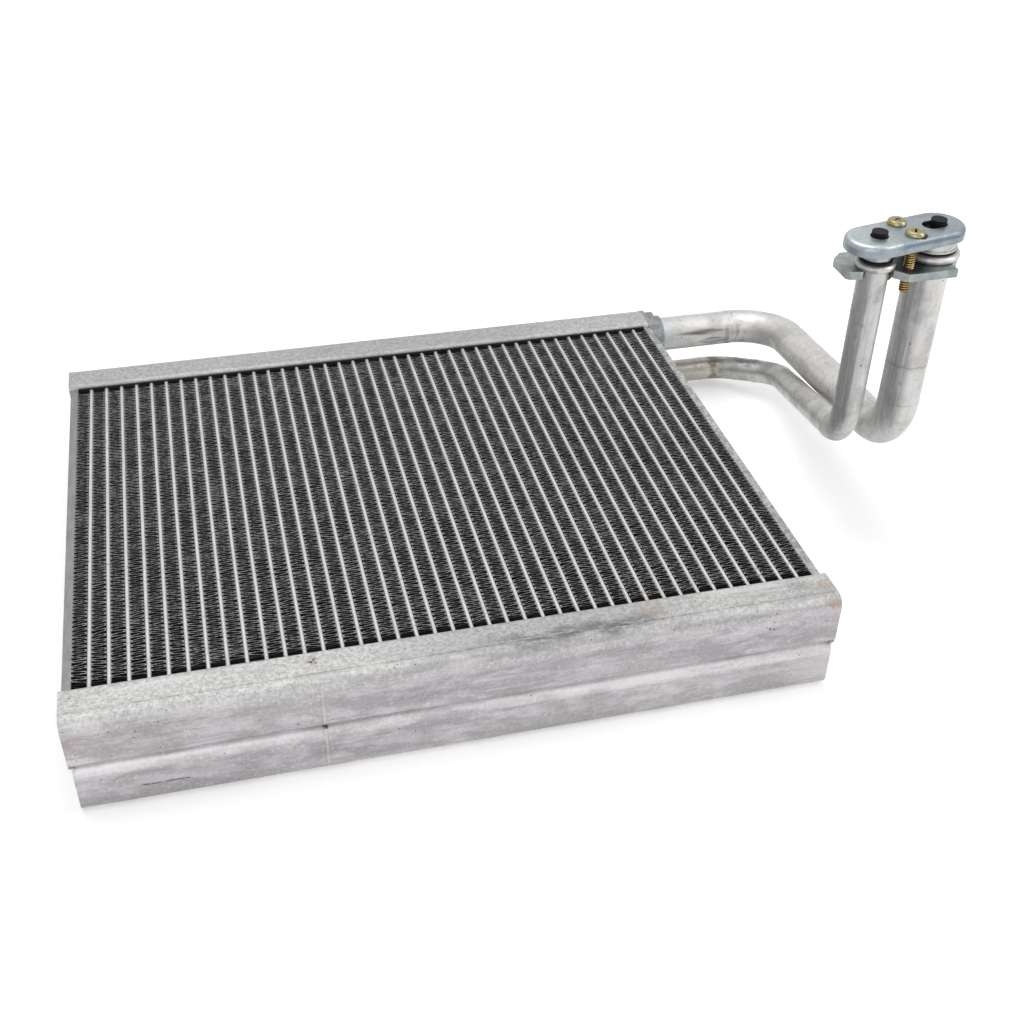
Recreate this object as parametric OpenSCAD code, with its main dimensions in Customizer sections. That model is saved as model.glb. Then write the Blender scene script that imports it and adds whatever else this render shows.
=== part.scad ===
// Evaporator core for a vehicle's air conditioning unit, in millimetres.
// Two tanks, each with two chambers one above the other, are joined by two rows
// of flat tubes with folded fins between them. Two pipes leave the rear tank and
// rise to a retaining plate, where a cap, two plugs and two screws close them.
// Origin: middle of the front tank's flat underside. +X runs along the tanks
// towards the pipes, +Y from the front tank to the rear one, +Z up, with the air.

/* [Tubes] */
// Number of flat tubes in each of the two rows
tube_count = 40; // [20:1:48]
// Distance from one tube to the next
tube_pitch = 6.4; // [5.6:0.1:8]
// Thickness of a flat tube
tube_t = 1.5; // [1.3:0.1:2]
// Gap between the two rows of tubes
row_gap = 1.3; // [1.2:0.1:4]
// Length of the core between the two header plates
core_len = 192.4; // [80:0.1:300]
// Refrigerant passages in one tube
tube_ports = 6; // [2:1:8]
// Wall between a passage and the outside of the tube
tube_wall = 0.35; // [0.25:0.05:0.45]
// How far a tube's end stands inside the tank
tube_stand = 1.5; // [0.5:0.1:3]

/* [Fins] */
// Thickness of the fin strip
fin_t = 0.18; // [0.1:0.01:0.3]
// Length of one full fold, out and back
fin_fold = 3.3; // [2.2:0.1:6]
// Bare length of tube between a fin's end and the header plate
fin_gap = 1.6; // [0.5:0.1:4]

/* [Tanks] */
// Depth of a tank, along the tubes
tank_d = 16.4; // [14:0.1:24]
// Height of a tank, across the core
tank_h = 41.6; // [41.6:0.1:48]
// Sheet thickness of the header plate
plate_t = 1; // [0.8:0.1:1.2]
// Sheet thickness of the tank
tank_t = 1; // [0.8:0.1:1.2]
// Length of the header plate's flanges over the tank
flange_l = 11.5; // [6:0.1:12]
// Outside radius of the bends between the header plate's web and its flanges
plate_bend = 2; // [1:0.1:2]
// How far the tank's faces lie below the flanges
tank_step = 0.15; // [0.1:0.05:0.6]
// Radius of the tank's outer shoulders
shoulder_r = 4; // [2:0.1:5]
// Radius of the upper chamber's edge at the groove
groove_r = 2.4; // [1.5:0.1:3]
// Depth of the groove between the two chambers
groove_depth = 1.8; // [0.5:0.1:2.4]
// Clearance round a tube in its slot, filled by brazing
slot_clear = 0.05; // [0.02:0.01:0.1]

/* [Baffles] */
// Thickness of a baffle
baffle_t = 1.5; // [1:0.1:2]
// Number of tubes to the left of the baffles
baffle_after = 12; // [2:1:16]
// Clearance round a baffle
baffle_clear = 0.05; // [0.02:0.01:0.1]

/* [End caps] */
// Thickness of an end cap
cap_t = 1.7; // [1:0.1:3]
// How far the lower half of an end cap stands back from the upper half
cap_back = 0.8; // [0.1:0.1:0.8]
// Length of the plugs that enter the chambers
cap_plug_l = 3; // [1:0.1:4]
// Clearance round those plugs
cap_clear = 0.1; // [0.05:0.01:0.2]

/* [Side plates] */
// Sheet thickness of a side plate
side_t = 1.2; // [0.8:0.1:2]
// Width of its flanges
side_flange = 3; // [2:0.1:6]
// How far the tanks reach past the side plates
tank_over = 0.7; // [0.5:0.1:4]

/* [Port block] */
// Thickness of the port block
block_t = 6.5; // [5:0.1:10]
// How far the block stays inside the outline of the end plate behind it
block_in = 1.8; // [1:0.1:2.2]
// Length of the collars round the pipes
collar_l = 2.2; // [2:0.1:8]
// Wall of the collars
collar_wall = 1.3; // [1:0.1:2]
// Height of the suction pipe above the middle of the upper row of tubes
suction_lift = 0; // [0:0.1:1]
// Depth of the liquid pipe below the middle of the lower row of tubes
liquid_drop = 2.8; // [0:0.1:3]
// How far a pipe enters the block
socket_l = 8; // [4:0.1:9]
// Clearance round a pipe in its socket
socket_clear = 0.05; // [0.02:0.01:0.1]
// Radius of the passage from the suction socket into the upper chamber
suction_way_r = 6; // [3:0.1:6.4]
// Radius of the passage from the liquid socket into the lower chamber
liquid_way_r = 4; // [2:0.1:4.3]

/* [Pipes] */
// Outside diameter of the suction pipe
suction_od = 15.9; // [13:0.1:16.5]
// Wall of the suction pipe
suction_wall = 1.3; // [1:0.1:2]
// Outside diameter of the liquid pipe
liquid_od = 11.1; // [9:0.1:11.5]
// Wall of the liquid pipe
liquid_wall = 1.2; // [0.8:0.1:1.5]
// Centre-line radius of the suction pipe's bends
suction_bend = 22; // [18:0.5:26]
// Centre-line radius of the liquid pipe's bends
liquid_bend = 21.5; // [15:0.5:22]
// Height of the marks that the bending die leaves at both ends of a bend
mark_h = 0.12; // [0.1:0.01:0.3]
// Length of those marks
mark_l = 1.6; // [1:0.1:3]
// Distance from the tanks' end to the corner of the suction pipe
suction_reach = 65.9; // [55:0.1:75]
// Height of the corner under the suction pipe's upright run
suction_foot = 51.8; // [50:0.1:60]
// Distance from the tanks' end to the liquid pipe's first corner
liquid_reach = 40.2; // [36:0.1:44]
// Distance from the tanks' end to its second corner
liquid_corner_out = 61.8; // [58:0.1:64]
// Distance from the rear tank's middle to that corner
liquid_corner_front = 22.9; // [18:0.1:30]
// Height of that corner
liquid_corner_up = 14.5; // [8:0.1:15]
// Height of the corner under the liquid pipe's upright run
liquid_foot = 60.4; // [56:0.1:61]

/* [Pipe ends] */
// Distance from the tanks' end to the liquid pipe's upright run
liquid_out = 30.8; // [26:0.1:34]
// Distance from the front tank's middle to the liquid pipe's upright run
liquid_back = 65; // [50:0.5:80]
// Distance between the two upright runs
port_spacing = 25.3; // [24.5:0.1:28]
// Angle from the tanks' direction to the line through both upright runs
port_turn = 11; // [0:0.5:16]
// Height of the middle of the pipes' beads
bead_z = 134; // [110:0.5:160]
// Height of a bead
bead_h = 3; // [2:0.1:4]
// Outside diameter of the suction pipe's bead
suction_bead_od = 21; // [20:0.1:22]
// Outside diameter of the liquid pipe's bead
liquid_bead_od = 14.8; // [14:0.1:16]
// Outside diameter of the suction spigot
suction_neck_od = 17; // [16.4:0.1:17.2]
// Outside diameter of the liquid spigot
liquid_neck_od = 10.9; // [10.4:0.1:11.4]
// Length of the spigots above their beads
neck_l = 7.7; // [7:0.1:8.2]
// Section of the sealing rings
ring_section = 1; // [0.8:0.1:1.2]
// Depth of the suction spigot's ring groove
suction_groove = 0.7; // [0.5:0.1:0.9]
// Depth of the liquid spigot's ring groove
liquid_groove = 0.3; // [0.1:0.1:0.6]
// Height of the collar above the suction spigot's groove
groove_collar_h = 0.6; // [0.4:0.1:1.2]
// How far that collar stands out of the spigot
groove_collar_out = 0.4; // [0.2:0.1:0.5]

/* [Retaining plate] */
// Thickness of the retaining plate
clamp_t = 3.1; // [2:0.1:5]
// Clearance round the pipes in the plate
clamp_clear = 0.15; // [0.1:0.05:0.3]
// Wall left round the suction pipe
clamp_wall = 1.8; // [1.5:0.1:3]
// Width of the plate's arm beside the liquid pipe
clamp_arm = 5.8; // [3:0.1:7]
// Distance from the liquid pipe's middle to the plate's front edge
clamp_front = 8.9; // [8.5:0.1:12]
// Distance from the liquid pipe's middle to the plate's back edge
clamp_back = 13.2; // [12:0.1:16]
// Length of the cut corners at the plate's back edge
clamp_corner = 4; // [2:0.1:6]
// Length of the plate's blunt tip beside the liquid pipe
clamp_tip = 2.6; // [2:0.1:4]

/* [Shipping cap] */
// Sheet thickness of the cap
lid_t = 1.2; // [0.8:0.1:1.2]
// Height of the cap from its rim to its face
lid_h = 4.5; // [3.4:0.1:6]
// Radius of the cap's turned edge
lid_edge_r = 2; // [1.5:0.1:2.4]
// Radius of the cap's two round ends
lid_r = 9.9; // [9.9:0.1:12]
// Distance from the liquid pipe to the centre of the cap's end there
liquid_end_off = 3.2; // [0:0.1:5]
// Distance from the suction pipe to the centre of the cap's end there
suction_end_off = 0.9; // [0:0.1:3]

/* [Plugs and screws] */
// Diameter of a plug's nub
nub_d = 5.8; // [4:0.1:6.2]
// Clearance round a nub in the cap
nub_clear = 0.4; // [0.3:0.1:0.8]
// Height of a nub above the cap's face
nub_h = 1.8; // [0.5:0.1:3]
// Distance from a nub to the line through both pipes
nub_off = 0.9; // [0:0.1:1.5]
// Distance of the liquid plug's nub from its plug's middle, away from the suction plug
liquid_nub_side = 1.1; // [0:0.1:1.4]
// Length of the slot for the suction plug's nub
nub_slot = 3.4; // [0:0.1:5]
// Thickness of a plug's flange, on which the cap lies
plug_flange = 0.6; // [0.4:0.1:2]
// How far a plug enters its pipe
plug_l = 6; // [3:0.5:12]
// Clearance round a plug in its pipe, and under the cap
plug_clear = 0.02; // [0.01:0.01:0.1]
// How far a plug's flange stays inside the spigot's edge
flange_in = 0.5; // [0.5:0.1:0.8]
// Thread diameter of the screws
screw_d = 4; // [3:0.1:4]
// Length of the screws under the head
screw_l = 22; // [19:0.5:26]
// Diameter of the screw heads
head_d = 7.6; // [6:0.1:8]
// Height of the screw heads
head_h = 2.4; // [2:0.1:3]
// Radius of the screw heads' upper edge
head_edge = 1.7; // [1:0.1:1.9]
// Width of the slots that cross in the heads
slot_w = 0.9; // [0.6:0.1:1.2]
// Depth of those slots
slot_h = 1.3; // [0.8:0.1:1.6]
// Distance of both screws from the liquid pipe, along the line through the pipes
screw_along = 11.2; // [11:0.1:13]
// Distance of each screw from that line
screw_off = 5.2; // [4.2:0.1:5.5]
// Clearance round the screws in the cap
screw_clear = 0.4; // [0.2:0.1:0.8]
// Radius of the open hole beside the front screw
spare_r = 2.8; // [2:0.1:3]
// Distance from the front screw to that hole, along the line through the pipes
spare_along = 1.3; // [0.5:0.1:2]
// Distance from the front screw to that hole, towards the cap's edge
spare_off = 1.2; // [0.5:0.1:1.5]

/* [Hidden] */
$fn = 48;
eps = 0.01;
fin_h = tube_pitch - tube_t;
tube_x0 = -(tube_count - 1) / 2 * tube_pitch;
core_half = (tube_count - 1) / 2 * tube_pitch + tube_t / 2 + fin_h;
side_out = core_half + side_flange;
tank_end = side_out + tank_over;
shell_end = tank_end - cap_t;
mid_z = tank_h / 2;
row_low = (plate_t + tank_t + mid_z - tank_t / 2) / 2;
row_high = tank_h - row_low;
tube_w = row_high - row_low - row_gap;
core_z0 = row_low - tube_w / 2;
core_z1 = row_high + tube_w / 2;
fin_side = tank_d / 2;
rear_y = tank_d + core_len;
baffle_x = tube_x0 + (baffle_after - 0.5) * tube_pitch;
suction_z = row_high + suction_lift;
liquid_z = row_low - liquid_drop;
liquid_at = [tank_end + liquid_out, liquid_back];
suction_at = liquid_at + port_spacing * [cos(port_turn), sin(port_turn)];
block_face = shell_end + block_t;
pipe_start = block_face + collar_l - socket_l;
groove_z = bead_h / 2 + ring_section;
neck_z = bead_h / 2 + neck_l;
lid_z = neck_z + plug_flange + plug_clear + lid_t;
suction_route = [
  [pipe_start, rear_y, suction_z],
  [tank_end + suction_reach, rear_y, suction_z],
  [suction_at.x, suction_at.y, suction_foot],
  [suction_at.x, suction_at.y, bead_z],
];
liquid_route = [
  [pipe_start, rear_y, liquid_z],
  [tank_end + liquid_reach, rear_y, liquid_z],
  [tank_end + liquid_corner_out, rear_y - liquid_corner_front, liquid_corner_up],
  [liquid_at.x, liquid_at.y, liquid_foot],
  [liquid_at.x, liquid_at.y, bead_z],
];

// Places a section, drawn as Y and Z, so that it runs from x0 to x1
module along_x(x0, x1) {
  translate([x0, 0, 0]) rotate([90, 0, 90]) linear_extrude(x1 - x0) children();
}

// Places a section, drawn as X and Z, so that it runs from y0 to y1
module along_y(y0, y1) {
  translate([0, y1, 0]) rotate([90, 0, 0]) linear_extrude(y1 - y0) children();
}

// The rear tank's pieces are the front ones turned to face the core
module at_rear() {
  translate([0, rear_y, 0]) mirror([0, 1, 0]) children();
}

// A block from y0 to y1 whose two edges at y0 are round
module d_shape(y0, y1, z0, z1, r_low, r_high) {
  r_max = max(r_low, r_high);
  translate([y0 + r_max, z0]) square([y1 - y0 - r_max, z1 - z0]);
  translate([y0, z0 + r_low]) square([r_max + eps, z1 - z0 - r_low - r_high]);
  translate([y0 + r_low, z0]) square([r_max - r_low + eps, r_low + eps]);
  translate([y0 + r_high, z1 - r_high - eps]) square([r_max - r_high + eps, r_high + eps]);
  translate([y0 + r_low, z0 + r_low]) circle(r_low);
  translate([y0 + r_high, z1 - r_high]) circle(r_high);
}

// Outline of both chambers, inset from the tank's full height by step
module tank_outline(step, notch) {
  d_shape(-fin_side, fin_side, mid_z, tank_h - step, groove_r, shoulder_r);
  d_shape(-fin_side, fin_side, step, mid_z, shoulder_r, shoulder_r);
  translate([notch - fin_side, mid_z - shoulder_r]) square([tank_d - notch, 2 * shoulder_r]);
}

// Lowest and highest point of a chamber: 0 is the lower, 1 the upper
function floor_z(level) = level == 0 ? plate_t + tank_t : mid_z + tank_t / 2;
function roof_z(level) = level == 0 ? mid_z - tank_t / 2 : tank_h - plate_t - tank_t;

// Hollow of one chamber
module chamber(level, gap) {
  r = shoulder_r - tank_t - gap;
  d_shape(tank_t - fin_side + gap, fin_side - plate_t - gap, floor_z(level) + gap, roof_z(level) - gap, r, r);
}

// Outline of the header plate, whose bends are round, over a depth along the tubes
module plate_outline(depth) {
  mirror([1, 0]) d_shape(-fin_side, depth - fin_side, 0, tank_h, plate_bend, plate_bend);
}

module tank_section() {
  difference() {
    tank_outline(tank_step, groove_depth);
    translate([fin_side - flange_l, tank_h - plate_t]) square([flange_l + 1, plate_t]);
    translate([fin_side - flange_l, 0]) square([flange_l + 1, plate_t]);
    translate([fin_side - plate_t, -1]) square([plate_t + 1, tank_h + 2]);
    chamber(0, 0);
    chamber(1, 0);
  }
}

module tank() {
  along_x(-shell_end, shell_end) tank_section();
}

// Header plate: a channel whose web holds the tubes
module header_plate() {
  difference() {
    along_x(-shell_end, shell_end) difference() {
      plate_outline(flange_l);
      translate([fin_side - flange_l - 1, plate_t])
        square([flange_l + 1 - plate_t, tank_h - 2 * plate_t]);
    }
    for (i = [0:tube_count - 1], z = [row_low, row_high])
      along_y(fin_side - plate_t - 1, fin_side + 1)
        translate([tube_x0 + i * tube_pitch, z])
          flat_outline(tube_t + 2 * slot_clear, tube_w + 2 * slot_clear);
  }
}

module flat_outline(t, w) {
  square([t, w - t], center = true);
  for (s = [-1, 1]) translate([0, s * (w - t) / 2]) circle(t / 2);
}

module tube_section() {
  port_w = (tube_w - tube_t) / tube_ports;
  difference() {
    flat_outline(tube_t, tube_w);
    for (k = [0:tube_ports - 1])
      translate([0, (k - (tube_ports - 1) / 2) * port_w])
        square([tube_t - 2 * tube_wall, port_w - 2 * tube_wall], center = true);
  }
}

module tubes(first, last, z) {
  y_in = plate_t + tube_stand;
  for (i = [first:last])
    along_y(fin_side - y_in, rear_y - fin_side + y_in)
      translate([tube_x0 + (i - 1) * tube_pitch, z]) tube_section();
}

// One fin: a strip folded back and forth between two tubes
module fin(x) {
  room = core_len - 2 * fin_gap;
  folds = 2 * floor(room / fin_fold);
  step = room / folds;
  there = [for (k = [0:folds]) [k % 2 == 0 ? 0 : fin_h - fin_t, k * step]];
  back = [for (k = [folds:-1:0]) [k % 2 == 0 ? fin_t : fin_h, k * step]];
  translate([x, fin_side + fin_gap, core_z0])
    linear_extrude(core_z1 - core_z0) polygon(concat(there, back));
}

// The fins, one more than the tubes, make seven groups of about the same size
module fin_group(number) {
  share = (tube_count + 1) / 7;
  color("#3c3a38") for (i = [floor(share * (number - 1)) + 1:floor(share * number)])
    fin(tube_x0 + (i - 1) * tube_pitch - fin_h - tube_t / 2);
}

module side_plate() {
  along_y(fin_side, rear_y - fin_side) {
    translate([core_half, core_z0]) square([side_t, core_z1 - core_z0]);
    for (z = [core_z0, core_z1 - side_t]) translate([core_half, z]) square([side_flange, side_t]);
  }
}

module end_outline(inset) {
  intersection() {
    tank_outline(0, tank_t / 2);
    plate_outline(tank_d);
    translate([inset - fin_side, inset]) square([tank_d - 2 * inset, tank_h - 2 * inset]);
  }
}

module end_cap() {
  along_x(shell_end, tank_end - cap_back) end_outline(0);
  along_x(shell_end, tank_end) intersection() {
    end_outline(0);
    translate([-fin_side, mid_z]) square([tank_d, mid_z]);
  }
  for (level = [0, 1])
    along_x(shell_end - cap_plug_l, shell_end + eps) chamber(level, cap_clear);
}

// The part of a baffle that stands in its slit, with a clearance round it
module baffle_edge(level, gap) {
  z0 = floor_z(level) + tank_t - gap;
  translate([-fin_side - 1, z0]) square([tank_t + 3, roof_z(level) - tank_t + gap - z0]);
}

module baffle(level) {
  along_x(baffle_x - baffle_t / 2, baffle_x + baffle_t / 2) {
    chamber(level, baffle_clear);
    intersection() {
      tank_outline(tank_step, groove_depth);
      baffle_edge(level, 0);
    }
  }
}

// Slits that let the baffles in through the tank's face
module baffle_slits() {
  slit = baffle_t / 2 + baffle_clear;
  for (level = [0, 1]) along_x(baffle_x - slit, baffle_x + slit) baffle_edge(level, baffle_clear);
}

// Port block: closes the rear tank's right end and takes both pipes
module port_block_body() {
  difference() {
    union() {
      at_rear() {
        end_cap();
        along_x(shell_end, block_face) end_outline(block_in);
      }
      port_cylinder(suction_z, shell_end + eps, block_face + collar_l, suction_od / 2 + collar_wall);
      port_cylinder(liquid_z, shell_end + eps, block_face + collar_l, liquid_od / 2 + collar_wall);
    }
    port_cylinder(suction_z, pipe_start, block_face + collar_l + 1, suction_od / 2 + socket_clear);
    port_cylinder(liquid_z, pipe_start, block_face + collar_l + 1, liquid_od / 2 + socket_clear);
    port_cylinder(suction_z, shell_end - cap_plug_l - 1, pipe_start + eps, suction_way_r);
    port_cylinder(liquid_z, shell_end - cap_plug_l - 1, pipe_start + eps, liquid_way_r);
  }
}

module port_cylinder(z, x0, x1, r) {
  translate([x0, rear_y, z]) rotate([0, 90, 0]) cylinder(h = x1 - x0, r = r);
}

function unit(v) = v / norm(v);
function turn(a, b, c) = acos(unit(b - a) * unit(c - b));
function setback(p, k, bend) =
  k == 0 || k == len(p) - 1 ? 0 : bend * tan(turn(p[k - 1], p[k], p[k + 1]) / 2);

// A round rod of length l that starts at a point and lies along a direction
module rod(from, way, l, r) {
  translate(from) rotate([0, acos(way.z), atan2(way.y, way.x)]) cylinder(h = l, r = r);
}

// A round rod along a route of straight runs, with a bend of one radius at each
// corner. Runs and bends end a little apart, inside the marks that join them.
module bent_rod(route, r, bend) {
  apart = mark_l / 8;
  last = len(route) - 2;
  for (k = [0:last]) {
    way = unit(route[k + 1] - route[k]);
    lead = k == 0 ? 0 : setback(route, k, bend) + apart;
    tail = k == last ? 0 : setback(route, k + 1, bend) + apart;
    rod(route[k] + way * lead, way, norm(route[k + 1] - route[k]) - lead - tail, r);
  }
  for (k = [1:last]) {
    in = unit(route[k] - route[k - 1]);
    out = unit(route[k + 1] - route[k]);
    back = setback(route, k, bend);
    rod(route[k] - in * (back + mark_l / 2), in, mark_l, r + mark_h);
    rod(route[k] + out * (back - mark_l / 2), out, mark_l, r + mark_h);
    side = unit(in * (in * out) - out);
    up = cross(side, in);
    lean = acos(up.z);
    head = atan2(up.y, up.x);
    across = [-sin(head), cos(head), 0];
    down = [cos(lean) * cos(head), cos(lean) * sin(head), -sin(lean)];
    translate(route[k] - in * back - side * bend)
      rotate([0, lean, head]) rotate([0, 0, atan2(side * across, side * down)])
        rotate_extrude(angle = turn(route[k - 1], route[k], route[k + 1]))
          translate([bend, 0]) circle(r);
  }
}

// Bead and spigot at the top of a pipe, with the groove for its sealing ring
module pipe_end(bead_od, neck_od, groove, collar) {
  bead_r = bead_h / 2;
  rotate_extrude() {
    translate([0, -bead_r]) square([bead_od / 2 - bead_r, bead_h]);
    translate([bead_od / 2 - bead_r, 0]) circle(bead_r);
    square([neck_od / 2 - groove, neck_z]);
    translate([0, groove_z]) square([neck_od / 2, neck_z - groove_z]);
    if (collar) translate([0, groove_z]) square([neck_od / 2 + groove_collar_out, groove_collar_h]);
  }
}

module pipe(route, od, wall, bend, bead_od, neck_od, groove, collar) {
  last = len(route) - 1;
  bore = [for (k = [0:last]) route[k] + (k == 0 ? [-1, 0, 0] : k == last ? [0, 0, neck_z + 1] : [0, 0, 0])];
  color("gainsboro") difference() {
    union() {
      bent_rod(route, od / 2, bend);
      translate(route[last]) pipe_end(bead_od, neck_od, groove, collar);
    }
    bent_rod(bore, od / 2 - wall, bend);
  }
}

module suction_pipe() {
  pipe(suction_route, suction_od, suction_wall, suction_bend,
       suction_bead_od, suction_neck_od, suction_groove, true);
}

module liquid_pipe() {
  pipe(liquid_route, liquid_od, liquid_wall, liquid_bend,
       liquid_bead_od, liquid_neck_od, liquid_groove, false);
}

module seal_ring(at, neck_od, groove) {
  color("#202020") translate([at.x, at.y, bead_z + (bead_h + ring_section) / 2])
    rotate_extrude() translate([neck_od / 2 - groove + ring_section / 2, 0]) circle(ring_section / 2);
}

// Frame of the pipe ends: origin in the liquid pipe's bead, X towards the suction pipe
module at_ports() {
  translate([liquid_at.x, liquid_at.y, bead_z]) rotate([0, 0, port_turn]) children();
}

module at_screws() {
  for (side = [-1, 1]) at_ports() translate([screw_along, side * screw_off, 0]) children();
}

// Retaining plate: a fork round the liquid pipe and a ring round the suction pipe
module retaining_plate() {
  slot_r = liquid_od / 2 + clamp_clear;
  hole_r = suction_od / 2 + clamp_clear;
  to_suction = suction_at - liquid_at;
  left = -slot_r - clamp_arm;
  right = to_suction.x + clamp_corner;
  blunt = clamp_tip / 2;
  color("#a9adac") difference() {
    translate([liquid_at.x, liquid_at.y, bead_z - bead_h / 2 - clamp_t]) linear_extrude(clamp_t)
      difference() {
        union() {
          polygon([
            [left, clamp_back - clamp_corner], [left, -blunt], [left + blunt, -clamp_tip],
            [slot_r, -clamp_front / 2], [slot_r + clamp_corner, -clamp_front],
            [right, -clamp_front], [right, to_suction.y],
            [to_suction.x, to_suction.y + hole_r + clamp_wall], [left + clamp_corner, clamp_back],
          ]);
          translate(to_suction) circle(hole_r + clamp_wall);
        }
        circle(slot_r);
        translate([-slot_r, -clamp_front - 1]) square([2 * slot_r, clamp_front + 1]);
        translate(to_suction) circle(hole_r);
      }
    at_screws() translate([0, 0, -bead_h / 2 - clamp_t - 1]) cylinder(h = clamp_t + 2, r = screw_d / 2);
  }
}

// Half of a section whose top, at height 0, has a round edge
module round_top(r, edge, h) {
  translate([0, -h]) square([r, h - edge]);
  translate([0, -h]) square([r - edge, h]);
  intersection() {
    translate([r - edge, -edge]) circle(edge);
    translate([0, -h]) square([r, h]);
  }
}

module lid_form(inset, h) {
  x0 = -liquid_end_off;
  x1 = port_spacing + suction_end_off;
  for (x = [x0, x1]) translate([x, 0, 0])
    rotate_extrude() round_top(lid_r - inset, lid_edge_r - inset, h);
  for (side = [0, 1]) mirror([0, side, 0])
    along_x(x0, x1) round_top(lid_r - inset, lid_edge_r - inset, h);
}

module shipping_cap() {
  color("#b4bcc0") at_ports() translate([0, 0, lid_z]) difference() {
    lid_form(0, lid_h);
    translate([0, 0, -lid_t]) lid_form(lid_t, lid_h);
    nub_holes(nub_d / 2 + nub_clear);
    for (side = [-1, 1]) translate([screw_along, side * screw_off, -lid_h])
      cylinder(h = 2 * lid_h, r = screw_d / 2 + screw_clear);
    translate([screw_along + spare_along, -spare_off - screw_off, -lid_h])
      cylinder(h = 2 * lid_h, r = spare_r);
  }
}

// A round hole over the liquid plug and a slot over the suction plug
module nub_holes(r) {
  for (x = [-liquid_nub_side, port_spacing, port_spacing - nub_slot])
    translate([x, -nub_off, -lid_h]) cylinder(h = 2 * lid_h, r = r);
  translate([port_spacing - nub_slot, -nub_off - r, -lid_h]) cube([nub_slot, 2 * r, 2 * lid_h]);
}

// A plug stands in the pipe's end, and its nub comes up through the cap
module plug(x, bore_r, neck_od, nub_side) {
  color("#1c1c1c") at_ports() translate([x, 0, neck_z]) {
    translate([0, 0, -plug_l]) cylinder(h = plug_l + eps, r = bore_r - plug_clear);
    cylinder(h = plug_flange, r = neck_od / 2 - flange_in);
    translate([-nub_side, -nub_off, 0]) cylinder(h = lid_z - neck_z + nub_h, r = nub_d / 2);
  }
}

module cap_screws() {
  color("#b59a52") at_screws() translate([0, 0, lid_z]) {
    translate([0, 0, -screw_l]) cylinder(h = screw_l + eps, r = screw_d / 2);
    difference() {
      translate([0, 0, head_h]) rotate_extrude() round_top(head_d / 2, head_edge, head_h);
      for (turned = [0, 90]) translate([0, 0, head_h]) rotate([0, 0, turned])
        cube([head_d / 2, slot_w, 2 * slot_h], center = true);
    }
  }
}

module front_tank() {
  color("#c4bfbd") difference() {
    tank();
    baffle_slits();
  }
}

module front_header_plate() { color("#b9b6b2") header_plate(); }
module rear_tank() { color("#c4bfbd") at_rear() tank(); }
module rear_header_plate() { color("#b9b6b2") at_rear() header_plate(); }
module front_left_end_cap() { color("#c9c5c2") mirror([1, 0, 0]) end_cap(); }
module front_right_end_cap() { color("#c9c5c2") end_cap(); }
module rear_left_end_cap() { color("#c9c5c2") at_rear() mirror([1, 0, 0]) end_cap(); }
module port_block() { color("#84888a") port_block_body(); }
module front_upper_baffle() { color("#aaaaaa") baffle(1); }
module front_lower_baffle() { color("#aaaaaa") baffle(0); }
module left_side_plate() { color("#a39f9b") mirror([1, 0, 0]) side_plate(); }
module right_side_plate() { color("#a39f9b") side_plate(); }
module upper_tubes_left_of_baffle() { color("#bcb8b2") tubes(1, baffle_after, row_high); }
module upper_tubes_right_of_baffle() { color("#bcb8b2") tubes(baffle_after + 1, tube_count, row_high); }
module lower_tubes_left_of_baffle() { color("#bcb8b2") tubes(1, baffle_after, row_low); }
module lower_tubes_right_of_baffle() { color("#bcb8b2") tubes(baffle_after + 1, tube_count, row_low); }
module suction_seal_ring() { seal_ring(suction_at, suction_neck_od, suction_groove); }
module liquid_seal_ring() { seal_ring(liquid_at, liquid_neck_od, liquid_groove); }
module suction_plug() { plug(port_spacing, suction_od / 2 - suction_wall, suction_neck_od, 0); }
module liquid_plug() { plug(0, liquid_od / 2 - liquid_wall, liquid_neck_od, liquid_nub_side); }

front_tank();
front_header_plate();
rear_tank();
rear_header_plate();
front_left_end_cap();
front_right_end_cap();
rear_left_end_cap();
port_block();
front_upper_baffle();
front_lower_baffle();
left_side_plate();
right_side_plate();
upper_tubes_left_of_baffle();
upper_tubes_right_of_baffle();
lower_tubes_left_of_baffle();
lower_tubes_right_of_baffle();
fin_group(1);  // fin_group_1
fin_group(2);  // fin_group_2
fin_group(3);  // fin_group_3
fin_group(4);  // fin_group_4
fin_group(5);  // fin_group_5
fin_group(6);  // fin_group_6
fin_group(7);  // fin_group_7
suction_pipe();
liquid_pipe();
suction_seal_ring();
liquid_seal_ring();
retaining_plate();
shipping_cap();
suction_plug();
liquid_plug();
cap_screws();
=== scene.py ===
# %% [markdown]
# # Evaporator core
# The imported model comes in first. It is the fixed frame: every size below is read
# from it, and nothing here moves it. Blender adds the finish of each surface and
# the detail that is too fine for the CAD solids.

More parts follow.
